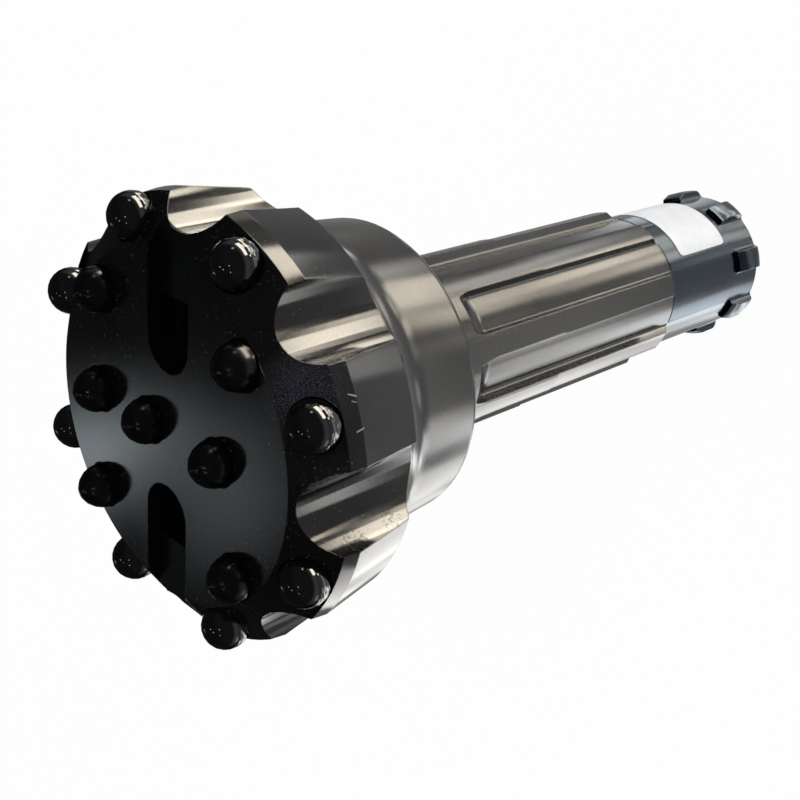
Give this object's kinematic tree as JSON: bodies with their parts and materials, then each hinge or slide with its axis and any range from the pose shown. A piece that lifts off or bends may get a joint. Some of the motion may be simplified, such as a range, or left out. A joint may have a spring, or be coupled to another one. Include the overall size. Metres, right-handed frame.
{
  "type": "button drill bit",
  "caption": "Down-the-hole rock drill bit: fluted head with domed gauge buttons, pointed face buttons and flushing slots, chuck collar, splined shank, ring neck and lugged strike end.",
  "frame": {"origin": "on the bit's axis in the plane of the strike face", "axes": "+Z along the bit's axis, from the strike end to the drilling face; +X through a gauge button"},
  "size_m": [0.13, 0.13, 0.2746],
  "materials": {
    "body_paint": "black satin paint over forged and machined steel",
    "button_paint": "glossy black paint over tungsten carbide",
    "label_paper": "blank white adhesive label"
  },
  "bodies": {
    "root": {"bit_body": "body_paint", "gauge_button_1": "button_paint", "gauge_button_2": "button_paint", "gauge_button_3": "button_paint", "gauge_button_4": "button_paint", "gauge_button_5": "button_paint", "gauge_button_6": "button_paint", "gauge_button_7": "button_paint", "gauge_button_8": "button_paint", "face_button_1": "button_paint", "face_button_2": "button_paint", "face_button_3": "button_paint", "face_button_4": "button_paint", "face_button_5": "button_paint", "face_button_6": "button_paint", "face_button_7": "button_paint", "blank_label": "label_paper"}
  },
  "joints": []
}
